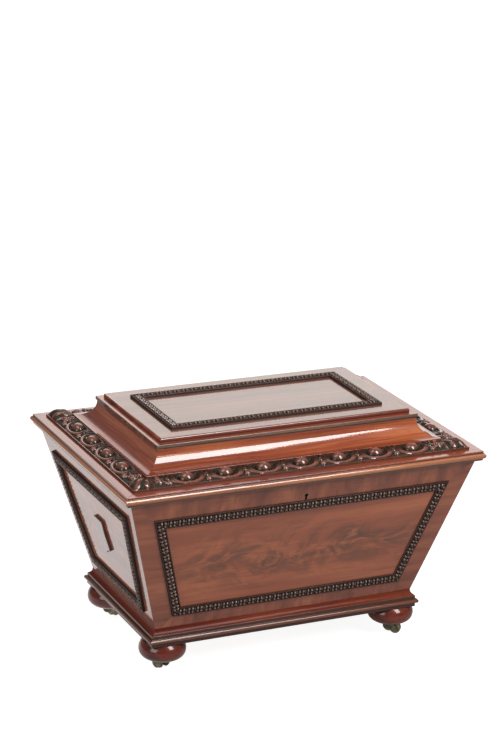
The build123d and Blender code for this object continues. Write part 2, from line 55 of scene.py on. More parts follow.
# Sizes read from the frame, in millimetres: the lid's rail, border, cove and steps, then the carcase
NOSING_X, _, RAIL_TOP = corners_of("lid_rail_right")[1]
_, NOSING_Y, _ = corners_of("lid_rail_back")[1]
BORDER_INNER, BORDER_OUTER = (NOSING_Y - corner[1] for corner in corners_of("carved_border_back"))
_, _, COVE_TOP = corners_of("lid_cove_back")[1]
_, _, BOARD_TOP = corners_of("lid_top_board")[1]
_, _, LID_TOP = corners_of("lid_top_panel")[1]
LID_FRAME_X, LID_FRAME_Y, _ = corners_of("lid_bead_frame")[1]
TOP_X, _, JOINT = corners_of("right_end_panel")[1]
_, TOP_Y, _ = corners_of("back_panel")[1]
_, _, BASE = corners_of("back_panel")[0]

# Sizes repeated from the CAD, in millimetres: the carcase's outside at its foot and the frames on its faces
BASE_X, BASE_Y = 278.3, 165
SPLAY_X = (TOP_X - BASE_X) / (JOINT - BASE)
SPLAY_Y = (TOP_Y - BASE_Y) / (JOINT - BASE)
FRAME_TOP, FRAME_BOTTOM = 352.5, 126
FRONT_MARGIN, END_MARGIN = 40, 37
BEAD_WIDTH = 19.5

OUTWARD = {"front": (0, -1), "back": (0, 1), "left": (-1, 0), "right": (1, 0)}
ALONG = {"front": "x", "back": "x", "left": "y", "right": "y"}


def face_width(side):
    """Half of a carcase face's width at its top, its splay at the sides, and the frame's margin there."""
    return (TOP_X, SPLAY_X, FRONT_MARGIN) if ALONG[side] == "x" else (TOP_Y, SPLAY_Y, END_MARGIN)


def in_scene(name, data):
    """A new object of the scene that shows a mesh, a light or a camera."""
    thing = bpy.data.objects.new(name, data)
    bpy.context.scene.collection.objects.link(thing)
    return thing


# Camera, at the photograph's angle: the focal length in the photograph's pixels, the sensor in millimetres
AZIMUTH, ELEVATION, ROLL = radians(-25.3378), radians(17.7792), radians(1.7921)
AIM, DISTANCE = Vector((-0.015118, 0, 0.534449)), 4.59197
FOCAL_PIXELS, PHOTO_HEIGHT, SENSOR = 2333.166, 750, 36


def camera_axes():
    """Right, up and back of a camera that looks at the cooler from the photograph's side."""
    level = cos(ELEVATION)
    back = Vector((sin(AZIMUTH) * level, -cos(AZIMUTH) * level, sin(ELEVATION)))
    right = (-back).cross(Vector((0, 0, 1))).normalized()
    up = right.cross(-back)
    return right * cos(ROLL) + up * sin(ROLL), up * cos(ROLL) - right * sin(ROLL), back


def place_camera():
    """A camera that sees the cooler as the photograph does."""
    right, up, back = camera_axes()
    camera = in_scene("camera", bpy.data.cameras.new("camera"))
    camera.data.sensor_width = SENSOR
    camera.data.lens = SENSOR * FOCAL_PIXELS / PHOTO_HEIGHT
    turn = Matrix((right, up, back)).transposed().to_4x4()
    camera.matrix_world = Matrix.Translation(AIM + back * DISTANCE) @ turn
    bpy.context.scene.camera = camera


place_camera()


# Finishes
class Nodes:
    """A node tree that is filled one node at a time. Each input is a socket or a plain value."""

    def __init__(self, tree):
        self.nodes, self.links = tree.nodes, tree.links
        self.nodes.clear()

    def add(self, kind, inputs=None, **settings):
        node = self.nodes.new(kind)
        for key, value in settings.items():
            setattr(node, key, value)
        for key, value in (inputs or {}).items():
            if isinstance(value, bpy.types.NodeSocket):
                self.links.new(value, node.inputs[key])
            else:
                node.inputs[key].default_value = value
        return node

    def math(self, operation, one, other=0.0, third=0.0):
        return self.add("ShaderNodeMath", {0: one, 1: other, 2: third}, operation=operation).outputs[0]

    def between(self, value, low, high, start=0.0, end=1.0, **settings):
        """The value spread from low-high to start-end, and held beyond."""
        spread = {"Value": value, "From Min": low, "From Max": high, "To Min": start, "To Max": end}
        return self.add("ShaderNodeMapRange", spread, **settings).outputs[0]


class Finish(Nodes):
    """A material, with its patterns in the object's own coordinates."""

    def __init__(self, name):
        self.material = bpy.data.materials.new(name)
        self.material.use_nodes = True
        super().__init__(self.material.node_tree)
        self.place = self.add("ShaderNodeTexCoord").outputs["Object"]

    def noise(self, scale, detail=3.0, roughness=0.55, distortion=0.0, source=None):
        """Noise with a scale of its own along x, y and z."""
        place = self.add("ShaderNodeMapping", {0: source or self.place, "Scale": scale}).outputs[0]
        values = {"Vector": place, "Scale": 1.0, "Detail": detail}
        values |= {"Roughness": roughness, "Distortion": distortion}
        return self.add("ShaderNodeTexNoise", values).outputs["Fac"]

    def height(self):
        """A point's height over the floor."""
        return self.add("ShaderNodeSeparateXYZ", {0: self.place}).outputs[2]

    def fade(self, height, levels, most=1.0):
        """From nothing at the first of two heights, in millimetres, to the most at the second."""
        none, full = levels
        return self.between(height, none * MM, full * MM, 0.0, most)

    def ramp(self, factor, *stops):
        node = self.add("ShaderNodeValToRGB", {0: factor})
        while len(node.color_ramp.elements) < len(stops):
            node.color_ramp.elements.new(0.5)
        for element, (position, colour) in zip(node.color_ramp.elements, stops):
            element.position = position
            element.color = (*colour, 1)
        return node.outputs[0]

    def mix(self, factor, one, other):
        """A colour between two, each a socket or its red, green and blue."""
        one, other = (c if isinstance(c, bpy.types.NodeSocket) else (*c, 1) for c in (one, other))
        return self.add("ShaderNodeMix", {0: factor, 6: one, 7: other}, data_type="RGBA").outputs[2]

    def wear_and_light_from_mesh(self, grime, amount):
        """A carved point's level of wear and painted light, as its mesh says, broken up by grime."""
        height = self.add("ShaderNodeAttribute", attribute_name="wear_and_light").outputs["Fac"]
        patches = self.math("MULTIPLY", self.math("SUBTRACT", grime, 0.5), amount)
        return self.math("ADD", height, patches)

    def bump(self, height, distance, strength=1.0, under=None):
        values = {"Height": height, "Distance": distance, "Strength": strength}
        if under:
            values["Normal"] = under
        return self.add("ShaderNodeBump", values).outputs[0]

    def surface(self, **values):
        shader = self.add("ShaderNodeBsdfPrincipled", {k.replace("_", " "): v for k, v in values.items()})
        self.add("ShaderNodeOutputMaterial", {0: shader.outputs[0]})
        return self.material


# Tones of the wood, dark, middle and light, and the painted shade in the lines of its mouldings and at the
# foot of the lid's steps
RED = ((0.080, 0.0120, 0.0060), (0.165, 0.0285, 0.0110), (0.29, 0.072, 0.024))
ORANGE = ((0.095, 0.0150, 0.0065), (0.212, 0.0440, 0.0150), (0.35, 0.098, 0.032))
GOLD = ((0.15, 0.045, 0.018), (0.27, 0.094, 0.040), (0.40, 0.170, 0.080))
BROWN = ((0.065, 0.021, 0.012), (0.115, 0.038, 0.021), (0.18, 0.064, 0.035))
OLIVE = ((0.040, 0.022, 0.012), (0.085, 0.048, 0.027), (0.16, 0.095, 0.055))
DEEP = ((0.040, 0.0065, 0.0038), (0.092, 0.0140, 0.0075), (0.15, 0.032, 0.014))
PALE = ((0.11, 0.062, 0.034), (0.20, 0.118, 0.064), (0.30, 0.19, 0.11))
LINE_SHADE, STEP_SHADE = (0.020, 0.007, 0.005), (0.022, 0.008, 0.005)

# Heights of the mouldings' lines, in millimetres: each pair is where a tone sets in and where it is full;
# all but the nosing's gold and the plinth's hollow are painted shade
NOSING, NOSING_UNDER = (409.8, 408.8), (399.8, 398.2)
QUIRK_FOOT, QUIRK_HEAD = (408.2, 409.2), (411.8, 411.0)
HOLLOW, PLINTH_UNDER = (87.6, 89.0), (73.5, 72.2)
FILLET_FOOT, FILLET_HEAD = (80.6, 81.6), (87.6, 86.8)

GRAIN_TURN = {"x": (0, 0, 0), "y": (0, 0, radians(-90)), "z": (0, radians(90), 0)}
GRAIN_SWAY = 0.012


def wood_tones(finish, grain, tones, stripe=1.0):
    """Mahogany's colour: long streaks, fine lines and dark pores along the grain, which is x, y or z."""
    dark, middle, light = tones
    along = finish.add("ShaderNodeMapping", {0: finish.place, "Rotation": GRAIN_TURN[grain]}).outputs[0]
    sway = finish.add("ShaderNodeTexNoise", {"Vector": along, "Scale": 5.0, "Detail": 1.0})
    warp = {0: sway.outputs["Color"], 1: [GRAIN_SWAY] * 3, 2: along}
    wavy = finish.add("ShaderNodeVectorMath", warp, operation="MULTIPLY_ADD").outputs[0]
    streaks = finish.noise((1.1, 34, 34), 3.0, source=wavy)
    lines = finish.noise((4, 260, 260), 2.0, 0.6, source=wavy)
    pores = finish.noise((60, 1300, 1300), 1.0, source=along)
    level = finish.math("ADD", finish.math("MULTIPLY", streaks, 0.68), finish.math("MULTIPLY", lines, 0.32))
    colour = finish.ramp(level, (0.5 - 0.16 / stripe, dark), (0.5, middle), (0.5 + 0.17 / stripe, light))
    pitted = finish.between(pores, 0.62, 0.72, 0.0, 0.55)
    return finish.mix(pitted, colour, [c * 0.3 for c in dark]), pores


def french_polish(finish, colour, pores, specular=0.10, coat=0.06, shine=1.0):
    """Shellac over the wood: a glossy coat with slow ripples, and the grain just telegraphing through."""
    slow = finish.noise((9, 9, 9), 1.0)
    skin = finish.noise((70, 70, 70), 3.0)
    wave = finish.bump(slow, 0.0003)
    wave = finish.bump(skin, 0.00004, under=wave)
    grain = finish.bump(pores, 0.00003, under=wave)
    return finish.surface(
        Base_Color=colour, Roughness=0.35, Specular_IOR_Level=specular, Normal=grain,
        Coat_Weight=shine, Coat_Roughness=coat, Coat_IOR=1.5, Coat_Normal=wave,
    )


def polished(name, grain, tones, stripe=1.0, **gloss):
    """Plain polished mahogany."""
    finish = Finish(name)
    colour, pores = wood_tones(finish, grain, tones, stripe)
    return french_polish(finish, colour, pores, **gloss)


def rail_wood(name, grain):
    """The lid's rail: red on its flat and upper edge, gold on the rounded nosing below, darkened with
    painted shade in the quirk over the nosing and under it.
    """
    finish = Finish(name)
    red, pores = wood_tones(finish, grain, RED)
    gold, _ = wood_tones(finish, grain, GOLD)
    height = finish.height()
    nosing = finish.fade(height, NOSING)
    quirk = finish.math("MULTIPLY", finish.fade(height, QUIRK_FOOT), finish.fade(height, QUIRK_HEAD))
    under = finish.fade(height, NOSING_UNDER)
    # Painted shade: the quirk over the nosing and the line under it
    dark = finish.math("MULTIPLY", finish.math("MAXIMUM", quirk, under), 0.75)
    colour = finish.mix(nosing, red, gold)
    return french_polish(finish, finish.mix(dark, colour, LINE_SHADE), pores)


def step_wood(name, tones, face_tones, top, foot):
    """A step of the lid's top: polished above, its moulded face of another tone, and darker towards its foot
    with painted shade.
    """
    finish = Finish(name)
    flat, pores = wood_tones(finish, "x", tones)
    edge, _ = wood_tones(finish, "x", face_tones)
    height = finish.height()
    rise = top - foot
    face = finish.fade(height, (top - 0.25, top - 0.6))
    # Painted shade towards the step's foot
    dark = finish.fade(height, (foot + 0.36 * rise, foot + 0.24 * rise), 0.85)
    colour = finish.mix(face, flat, edge)
    return french_polish(finish, finish.mix(dark, colour, STEP_SHADE), pores)


def plinth_wood(name, grain):
    """The plinth: a dull dark red hollow, a fillet darkened with painted shade, then a moulding with painted
    shade beneath.
    """
    finish = Finish(name)
    deep, pores = wood_tones(finish, grain, DEEP)
    brown, _ = wood_tones(finish, grain, BROWN)
    height = finish.height()
    hollow = finish.fade(height, HOLLOW)
    fillet = finish.math("MULTIPLY", finish.fade(height, FILLET_FOOT), finish.fade(height, FILLET_HEAD))
    under = finish.fade(height, PLINTH_UNDER)
    # Painted shade in the fillet and under the moulding
    dark = finish.math("MULTIPLY", finish.math("MAXIMUM", fillet, under), 0.8)
    colour = finish.mix(hollow, brown, deep)
    shine = finish.math("SUBTRACT", 0.75, finish.math("MULTIPLY", hollow, 0.66))
    return french_polish(
        finish, finish.mix(dark, colour, LINE_SHADE), pores, specular=0.03, coat=0.12, shine=shine
    )


def crossbanding(finish, flat, outside, above):
    """The band round a frame, its grain running away from it: up on the rails and level on the stiles."""
    rail_part = finish.between(finish.math("SUBTRACT", above, outside), -0.0003, 0.0003)
    stile_tone = finish.noise((4, 34, 34), 4.0, 0.6, 0.4, source=flat)
    rail_tone = finish.noise((34, 34, 4), 4.0, 0.6, 0.4, source=flat)
    return finish.ramp(
        finish.mix(rail_part, stile_tone, rail_tone),
        (0.30, (0.105, 0.030, 0.016)), (0.5, (0.180, 0.051, 0.027)), (0.70, (0.255, 0.080, 0.038)),
    )


def figured_field(finish, flat, across, height, middle, half_width):
    """The veneer's figure: smoky blotches and short orange wisps along the middle of the panel."""
    sway = finish.noise((5, 5, 5), 2.0, source=flat)
    spine = finish.math("MULTIPLY_ADD", finish.math("SUBTRACT", sway, 0.5), 0.10, middle - 0.002)
    away = finish.math("SUBTRACT", height, spine)
    from_spine = finish.math("ABSOLUTE", away)
    leaned = finish.math("MULTIPLY_ADD", from_spine, -0.8, across)
    wisp_place = finish.add("ShaderNodeCombineXYZ", {0: leaned, 1: 0.0, 2: away}).outputs[0]
    wisps = finish.noise((15, 1, 34), 4.0, 0.6, 1.4, source=wisp_place)
    blotches = finish.noise((15, 15, 23), 4.0, 0.62, 0.8, source=wisp_place)
    near_spine = finish.between(from_spine, 0.015, 0.085, 1.0, 0.0)
    sideways = finish.math("ABSOLUTE", across)
    not_far_out = finish.between(sideways, 0.55 * half_width, 0.82 * half_width, 1.0, 0.0)
    presence = finish.math("MULTIPLY", near_spine, not_far_out)
    long_grain = finish.noise((2.6, 34, 34), 4.0, 0.55, 0.5, source=flat)
    field = finish.ramp(
        long_grain,
        (0.3, (0.165, 0.047, 0.025)), (0.5, (0.230, 0.064, 0.031)), (0.7, (0.300, 0.090, 0.041)),
    )
    smoke = finish.math("MULTIPLY", finish.between(blotches, 0.43, 0.58), presence)
    figured = finish.mix(finish.math("MULTIPLY", smoke, 0.78), field, (0.080, 0.033, 0.020))
    flash = finish.math("MULTIPLY", finish.between(wisps, 0.54, 0.70), presence)
    return finish.mix(finish.math("MULTIPLY", flash, 0.55), figured, (0.38, 0.118, 0.050))


def panel_veneer(name, side):
    """A carcase face: figured veneer inside the bead frame and crossbanding round it."""
    finish = Finish(name)
    half_top, slope, margin = face_width(side)
    split = finish.add("ShaderNodeSeparateXYZ", {0: finish.place})
    across, flat, height = split.outputs[0], finish.place, split.outputs[2]
    if ALONG[side] == "y":
        across = split.outputs[1]
        flat = finish.add("ShaderNodeCombineXYZ", {0: across, 1: split.outputs[0], 2: height}).outputs[0]

    # How far outside the frame's middle line a point lies, sideways, and above or below
    half_floor = (half_top - slope * JOINT - margin - BEAD_WIDTH / 2) * MM
    half_there = finish.math("MULTIPLY_ADD", height, slope, half_floor)
    outside = finish.math("SUBTRACT", finish.math("ABSOLUTE", across), half_there)
    middle = (FRAME_TOP + FRAME_BOTTOM) / 2 * MM
    half_height = ((FRAME_TOP - FRAME_BOTTOM) / 2 - BEAD_WIDTH / 2) * MM
    above = finish.math("ABSOLUTE", finish.math("SUBTRACT", height, middle))
    above = finish.math("SUBTRACT", above, half_height)
    border = finish.between(finish.math("MAXIMUM", outside, above), -0.0002, 0.0002)

    figured = figured_field(finish, flat, across, height, middle, half_top * MM)
    colour = finish.mix(border, figured, crossbanding(finish, flat, outside, above))
    fine = finish.noise((14, 420, 420), 2.0, source=flat)
    colour = finish.mix(finish.between(fine, 0.5, 0.75, 0.0, 0.25), colour, (0.06, 0.016, 0.010))
    return french_polish(finish, colour, fine, specular=0.05)


def carved_wood():
    """Old stained carving: greenish-dark in the hollows, partly patina and partly painted shade, and
    red-brown and glossy on the high points, partly wear and partly painted highlight.
    """
    finish = Finish("carved_mahogany")
    grime = finish.noise((160, 160, 160), 4.0, 0.6)
    wear_and_light = finish.wear_and_light_from_mesh(grime, 0.45)
    # Painted shade in the hollows and painted highlight on the high points, over real patina and wear
    colour = finish.ramp(
        wear_and_light, (0.06, (0.028, 0.026, 0.020)), (0.30, (0.018, 0.010, 0.006)), (0.58, (0.048, 0.016, 0.009)),
        (0.92, (0.152, 0.046, 0.026)),
    )
    nicks = finish.bump(grime, 0.00025, 0.8)
    shine = finish.between(wear_and_light, 0.15, 0.8, 0.06, 1.0)
    return finish.surface(
        Base_Color=colour, Roughness=0.5, Specular_IOR_Level=0.05, Normal=nicks, Coat_Weight=shine,
        Coat_Roughness=0.14, Coat_IOR=1.6,
    )


def beaded_wood():
    """The bead mouldings: near-black brown with shiny crests, lighter from wear and from painted highlight.
    """
    finish = Finish("beaded_mahogany")
    grime = finish.noise((240, 240, 240), 3.0)
    wear_and_light = finish.wear_and_light_from_mesh(grime, 0.5)
    # Lighter crests: wear and painted highlight
    colour = finish.ramp(
        wear_and_light, (0.1, (0.030, 0.014, 0.010)), (0.5, (0.066, 0.036, 0.026)), (0.85, (0.17, 0.115, 0.09)),
    )
    shine = finish.between(wear_and_light, 0.1, 0.6, 0.12, 0.8)
    return finish.surface(
        Base_Color=colour, Roughness=0.5, Specular_IOR_Level=0.15, Normal=finish.bump(grime, 0.0001),
        Coat_Weight=shine, Coat_Roughness=0.10,
    )


def aged_brass():
    """Brass that is dull and dark in patches."""
    finish = Finish("aged_brass")
    cloud = finish.noise((90, 90, 90), 4.0, 0.65)
    speck = finish.noise((700, 700, 700), 2.0)
    colour = finish.ramp(
        cloud, (0.30, (0.050, 0.043, 0.028)), (0.50, (0.150, 0.130, 0.080)), (0.72, (0.36, 0.31, 0.19)),
    )
    rough = finish.between(cloud, 0.3, 0.7, 0.55, 0.3)
    return finish.surface(
        Base_Color=colour, Metallic=0.85, Roughness=rough, Normal=finish.bump(speck, 0.00008),
    )


def blackened_brass():
    """The keyhole's lining, dark with old polish."""
    finish = Finish("blackened_brass")
    cloud = finish.noise((400, 400, 400), 3.0)
    colour = finish.ramp(cloud, (0.4, (0.007, 0.006, 0.005)), (0.75, (0.035, 0.026, 0.014)))
    return finish.surface(
        Base_Color=colour, Metallic=0.5, Roughness=0.6, Normal=finish.bump(cloud, 0.00005),
    )


def sheet_lead():
    """The well's lining: dull grey lead, clouded and slightly dented."""
    finish = Finish("sheet_lead")
    cloud = finish.noise((14, 14, 14), 5.0, 0.6, 0.3)
    dents = finish.noise((30, 30, 30), 2.0)
    colour = finish.ramp(
        cloud, (0.3, (0.085, 0.088, 0.090)), (0.55, (0.15, 0.155, 0.16)), (0.8, (0.27, 0.27, 0.265)),
    )
    return finish.surface(
        Base_Color=colour, Metallic=0.55, Roughness=0.55, Normal=finish.bump(dents, 0.0015),
    )


def bare_wood():
    """Unpolished secondary timber under the plinth and in the bottom."""
    finish = Finish("bare_wood")
    colour, pores = wood_tones(finish, "x", PALE)
    return finish.surface(Base_Color=colour, Roughness=0.75, Normal=finish.bump(pores, 0.0001))


CARVED = carved_wood()
BEADED = beaded_wood()
BRASS = aged_brass()
LEAD = sheet_lead()
BARE = bare_wood()


# Mesh tools. Points nearer than this are one, in metres: in a joined piece, in a row and in a CAD mesh
JOINED, WELDED, SAME_POINT = 0.00002, 0.00001, 0.000002

# Degrees: the turn that still counts as flat, and the turn that keeps an edge sharp in each kind of mesh
FLAT, ARRIS = 0.2, 32
CARVING_EDGE, BEAD_EDGE, SCREW_EDGE = 66, 62, 35


def new_piece(name, vertices, faces, wear_and_light=None):
    """A mesh object from points in metres, with each point's level of wear and painted light where one is
    given.
    """
    mesh = bpy.data.meshes.new(name)
    mesh.from_pydata([tuple(v) for v in vertices], [], [tuple(int(i) for i in f) for f in faces])
    if wear_and_light is not None:
        mesh.attributes.new("wear_and_light", "FLOAT", "POINT").data.foreach_set("value", np.asarray(wear_and_light, float))
    return in_scene(name, mesh)


@contextmanager
def worked_into(mesh, *sources):
    """The faces of the sources, to be worked on; what becomes of them is then the mesh's."""
    work = bmesh.new()
    for source in sources:
        work.from_mesh(source)
    yield work
    work.to_mesh(mesh)
    work.free()


def smoothed(mesh, sharp):
    """Smooth shading, but for the edges that turn by more than so many degrees."""
    mesh.polygons.foreach_set("use_smooth", [True] * len(mesh.polygons))
    mesh.set_sharp_from_angle(angle=radians(sharp))


def settled(piece, material):
    """Turns what the piece's modifiers make into its plain mesh."""
    bpy.context.view_layer.update()
    shaped = piece.evaluated_get(bpy.context.evaluated_depsgraph_get())
    mesh = bpy.data.meshes.new_from_object(shaped)
    piece.modifiers.clear()
    piece.data = mesh
    mesh.materials.clear()
    mesh.materials.append(material)
    return piece


def row_tree():
    """Geometry nodes that repeat the piece's own mesh in a straight row."""
    tree = bpy.data.node_groups.new("row_of_units", "GeometryNodeTree")
    kinds = {"Unit": "Geometry", "Count": "Int", "Pitch": "Vector", "Start": "Vector", "Finish": "Material"}
    for name, kind in kinds.items():
        tree.interface.new_socket(name, in_out="INPUT", socket_type="NodeSocket" + kind)
    tree.interface.new_socket("Row", in_out="OUTPUT", socket_type="NodeSocketGeometry")
    add, link = tree.nodes.new, tree.links.new
    given, made = add("NodeGroupInput"), add("NodeGroupOutput")
    line, place = add("GeometryNodeMeshLine"), add("GeometryNodeInstanceOnPoints")
    real, weld = add("GeometryNodeRealizeInstances"), add("GeometryNodeMergeByDistance")
    paint = add("GeometryNodeSetMaterial")
    weld.inputs["Distance"].default_value = WELDED
    link(given.outputs["Count"], line.inputs["Count"])
    link(given.outputs["Pitch"], line.inputs["Offset"])
    link(given.outputs["Start"], line.inputs["Start Location"])
    link(line.outputs[0], place.inputs["Points"])
    link(given.outputs["Unit"], place.inputs["Instance"])
    link(place.outputs[0], real.inputs[0])
    link(real.outputs[0], weld.inputs["Geometry"])
    link(weld.outputs[0], paint.inputs["Geometry"])
    link(given.outputs["Finish"], paint.inputs["Material"])
    link(paint.outputs[0], made.inputs[0])
    return tree


ROW = row_tree()


def row_of(unit, count, pitch, start, material):
    """Repeats a unit along a line and leaves it a plain mesh."""
    modifier = unit.modifiers.new("row", "NODES")
    modifier.node_group = ROW
    sockets = {item.name: item.identifier for item in ROW.interface.items_tree if item.in_out == "INPUT"}
    for name, value in (("Count", count), ("Pitch", pitch), ("Start", start), ("Finish", material)):
        modifier[sockets[name]] = value
    return settled(unit, material)


def joined(name, pieces, body, *nodes, slot):
    """One object from several meshes, riding on a body and standing for its CAD nodes."""
    mesh = bpy.data.meshes.new(name)
    with worked_into(mesh, *(piece.data for piece in pieces)) as work:
        bmesh.ops.remove_doubles(work, verts=work.verts, dist=JOINED)
    for material in pieces[0].data.materials:
        mesh.materials.append(material)
    whole = in_scene(name, mesh)
    for piece in pieces:
        bpy.data.objects.remove(piece)
    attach(whole, body)
    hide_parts(*nodes)
    return whole


def softened(node, body, material, arris, segments=2):
    """A CAD piece with its faces joined and its arrises eased by so many millimetres, for its node."""
    mesh = bpy.data.meshes.new("eased_" + node)
    with worked_into(mesh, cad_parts[node].data) as work:
        bmesh.ops.remove_doubles(work, verts=work.verts, dist=SAME_POINT)
        bmesh.ops.dissolve_limit(work, angle_limit=radians(FLAT), verts=work.verts, edges=work.edges)
    smoothed(mesh, ARRIS)
    piece = in_scene("eased_" + node, mesh)
    if arris:
        bevel = piece.modifiers.new("arris", "BEVEL")
        bevel.width = arris * MM
        bevel.segments = segments
        bevel.limit_method = "ANGLE"
        bevel.angle_limit = radians(ARRIS)
    shading = piece.modifiers.new("shading", "WEIGHTED_NORMAL")
    shading.weight = 100
    shading.keep_sharp = True
    settled(piece, material)
    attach(piece, body)
    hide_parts(node)


# Egg-and-dart border, in millimetres: heights over the rail, insets from the nosing, halves of each length
EGG_PITCH = 79.5
EGG_COUNT = {"x": 7, "y": 4}
EGG_INSET, EGG_LONG, EGG_WIDE, EGG_TOP = 49, 16.2, 13.2, 18.2
COLLAR_INSET, COLLAR_LONG, COLLAR_WIDE, COLLAR_TOP, COLLAR_SLOPE = 47.5, 29.0, 16.6, 11.4, 0.27
PEARL_INSET, PEARL_RADIUS, PEARL_TOP = 36.5, 6.0, 10.4
CORNER_RUN = {
    "x": NOSING_X - BORDER_OUTER - EGG_COUNT["x"] / 2 * EGG_PITCH,
    "y": NOSING_Y - BORDER_OUTER - EGG_COUNT["y"] / 2 * EGG_PITCH,
}
CARVING_STEP = 0.6
RIM_WIDTH, RIM_FLAT, RIM_TOP, RIM_FALL = 3.0, 1.6, 4.3, 2.2
GROUND = ((BORDER_OUTER + RIM_WIDTH, 2.2), (BORDER_OUTER + 17, 6.9), (BORDER_INNER, 9.4))
# Levels of wear and painted light: the ground dark with patina and painted shade, the rim and the outer wall
# light with wear and painted highlight
GROUND_WEAR_AND_SHADE, RIM_WEAR_AND_HIGHLIGHT, WALL_WEAR_AND_HIGHLIGHT = 0.05, 0.7, 0.6


def ground_height(inset):
    """The sunk ground: a raised rim, then a slope up to the cove on a circle through three points."""
    a = np.array([[x, y, 1] for x, y in GROUND], float)
    b = -np.array([x * x + y * y for x, y in GROUND], float)
    d, e, f = np.linalg.solve(a, b)
    slope = (-e + np.sqrt(e * e - 4 * (inset * inset + d * inset + f))) / 2
    t = inset - BORDER_OUTER
    fallen = np.clip((t - RIM_FLAT) / (RIM_WIDTH - RIM_FLAT), 0, 1) ** 2
    return np.maximum(slope, np.where(t < RIM_WIDTH, RIM_TOP - RIM_FALL * fallen, 0))


def swell(share, power=0.5):
    """A rounded section: one at the middle, nothing from the edge on, by the share of the way out."""
    return np.clip(1 - np.abs(share) ** 2, 0, 1) ** power


def raised(inset, ground, *elements):
    """The highest carved element at each point, with its own level of wear and painted light; each is (top,
    section, level of wear and painted light).
    """
    rim = np.clip((BORDER_OUTER + RIM_WIDTH - inset) / 0.6, 0, 1)
    heights, wear_and_light_levels = [ground], [GROUND_WEAR_AND_SHADE + RIM_WEAR_AND_HIGHLIGHT * rim]
    for top, section, wear_and_light_level in elements:
        heights.append(ground + np.maximum(top - ground, 0) * section)
        wear_and_light_levels.append(np.broadcast_to(wear_and_light_level, ground.shape) * np.clip(section * 2.5, 0.3, 1))
    heights, wear_and_light_levels = np.stack(heights), np.stack(wear_and_light_levels)
    highest = heights.argmax(axis=0)[None]
    return np.take_along_axis(heights, highest, 0)[0], np.take_along_axis(wear_and_light_levels, highest, 0)[0]


def collar_height(inset):
    """The sloping level of the collars' tops."""
    return COLLAR_TOP + COLLAR_SLOPE * (inset - COLLAR_INSET)


def pearl_and_husk(side, inset):
    """The pearl between two eggs, and the small leaves that part over it towards the cove."""
    ground = ground_height(inset)
    spread = np.clip((inset - 52) / 14, 0, 1)
    blades = swell((np.abs(side) - 1.6 - 4.4 * spread) / (2.2 + 1.0 * spread)) * (inset > 51.5)
    return (
        (PEARL_TOP, swell(np.hypot(side, inset - PEARL_INSET) / PEARL_RADIUS), 0.95),
        (ground + 4.6, swell(np.hypot(side / 5.8, (inset - 47.4) / 4.4)), 0.55),
        (ground + 3.8, blades, 0.42),
    )


def egg_heights(s, inset):
    """Carved height of one unit, s along from the egg's middle, and its level of wear and painted light."""
    power = np.where(inset > COLLAR_INSET, 3.6, 2.1)
    along, across = np.abs(s / COLLAR_LONG), np.abs(inset - COLLAR_INSET) / COLLAR_WIDE
    reach = (along**power + across**power) ** (1 / power)
    inside = np.clip((1 - reach) * 6, 0, 1)
    ground = ground_height(inset) - 2.6 * inside
    egg = swell(np.hypot(s / EGG_LONG, (inset - EGG_INSET - 0.4) / EGG_WIDE), 0.55)

    # The collar, open and lower towards the cove, with a low cord inside it
    collar, cord = (reach - 1) * 19, (reach - 0.70) * 19
    # The collar's outer arc lighter as painted highlight and its cove side darker as painted shade; the egg
    # lighter to its crest with wear and painted highlight
    outer = np.clip((COLLAR_INSET + 3 - inset) / 13, 0, 1)
    wear_and_light_level = 0.30 + 0.68 * outer * swell(collar / 4.2)
    open_end = np.clip((inset - COLLAR_INSET - 3) / 10, 0, 1)
    return raised(
        inset,
        ground,
        (EGG_TOP, egg, 0.35 + 0.57 * egg),
        (collar_height(inset) - 4.2 * open_end, swell(collar / 4.6), wear_and_light_level),
        (ground + 1.7, swell(cord / 1.6), 0.34),
        *pearl_and_husk(EGG_PITCH / 2 - np.abs(s), inset),
    )


def corner_leaf(d, t):
    """Ribs that spread over a rounded boss from the cove's corner, with a lobe at each tip."""
    root, boss, ball, crest, tip = 43.0, 21.5, 35.0, 17.6, 40.5
    ribs, fine_veins = 7, 28
    dome = np.sqrt(np.clip(ball**2 - np.hypot(d - boss, t - boss) ** 2, 0, None)) - (ball - crest)
    reach = np.hypot(root - d, root - t)
    angle = np.arctan2(root - t, root - d) - pi / 4
    turned = np.abs(angle)
    lobe = np.abs(np.cos(angle * ribs))
    flute = (1 - lobe**0.7) * np.clip(reach / 24, 0.25, 1)
    veins = np.abs(np.sin(angle * fine_veins)) * np.clip(reach / 30, 0, 1)
    rim = np.where(turned < pi / 4, tip / np.cos(pi / 4 - turned), tip - 16 * (turned - pi / 4))
    limit = rim * (0.90 + 0.10 * lobe**0.5)
    section = swell(np.clip(reach / limit, 0, 1) ** 3.5, 0.4) * (turned < radians(68))
    # The last value darkens the flutes and veins as painted shade
    return dome - 3.8 * flute - 0.4 * veins + 0.8, section, 0.92 - 1.2 * flute - 0.15 * veins


def corner_scroll(d, t, end):
    """A small scroll beside the leaf, its eye, an upright lobe and a thin arc that faces the pearl."""
    middle_d, middle_t, pitch, disc = end - 18.5, 21.0, 4.4, 10.4
    r = np.hypot(d - middle_d, t - middle_t)
    turn = np.arctan2(t - middle_t, d - middle_d)
    coil = swell(np.abs(((r - pitch * (turn + pi) / (2 * pi)) % pitch) - pitch / 2) / 1.9)
    lobe = swell(np.hypot((d - middle_d - 1.5) / 5.2, (t - 35) / 6.0))
    arc = np.hypot(end - d + 7.0, t - 22) - 16.5
    return (
        (9.6 + 2.6 * coil, swell(r / disc, 0.35), 0.45 + 0.4 * coil),
        (14.0, swell(r / 2.9), 0.9),
        (13.2, lobe, 0.75),
        (9.6, swell(arc / 1.9) * swell((t - 21) / 15.5, 0.3), 0.85),
    )


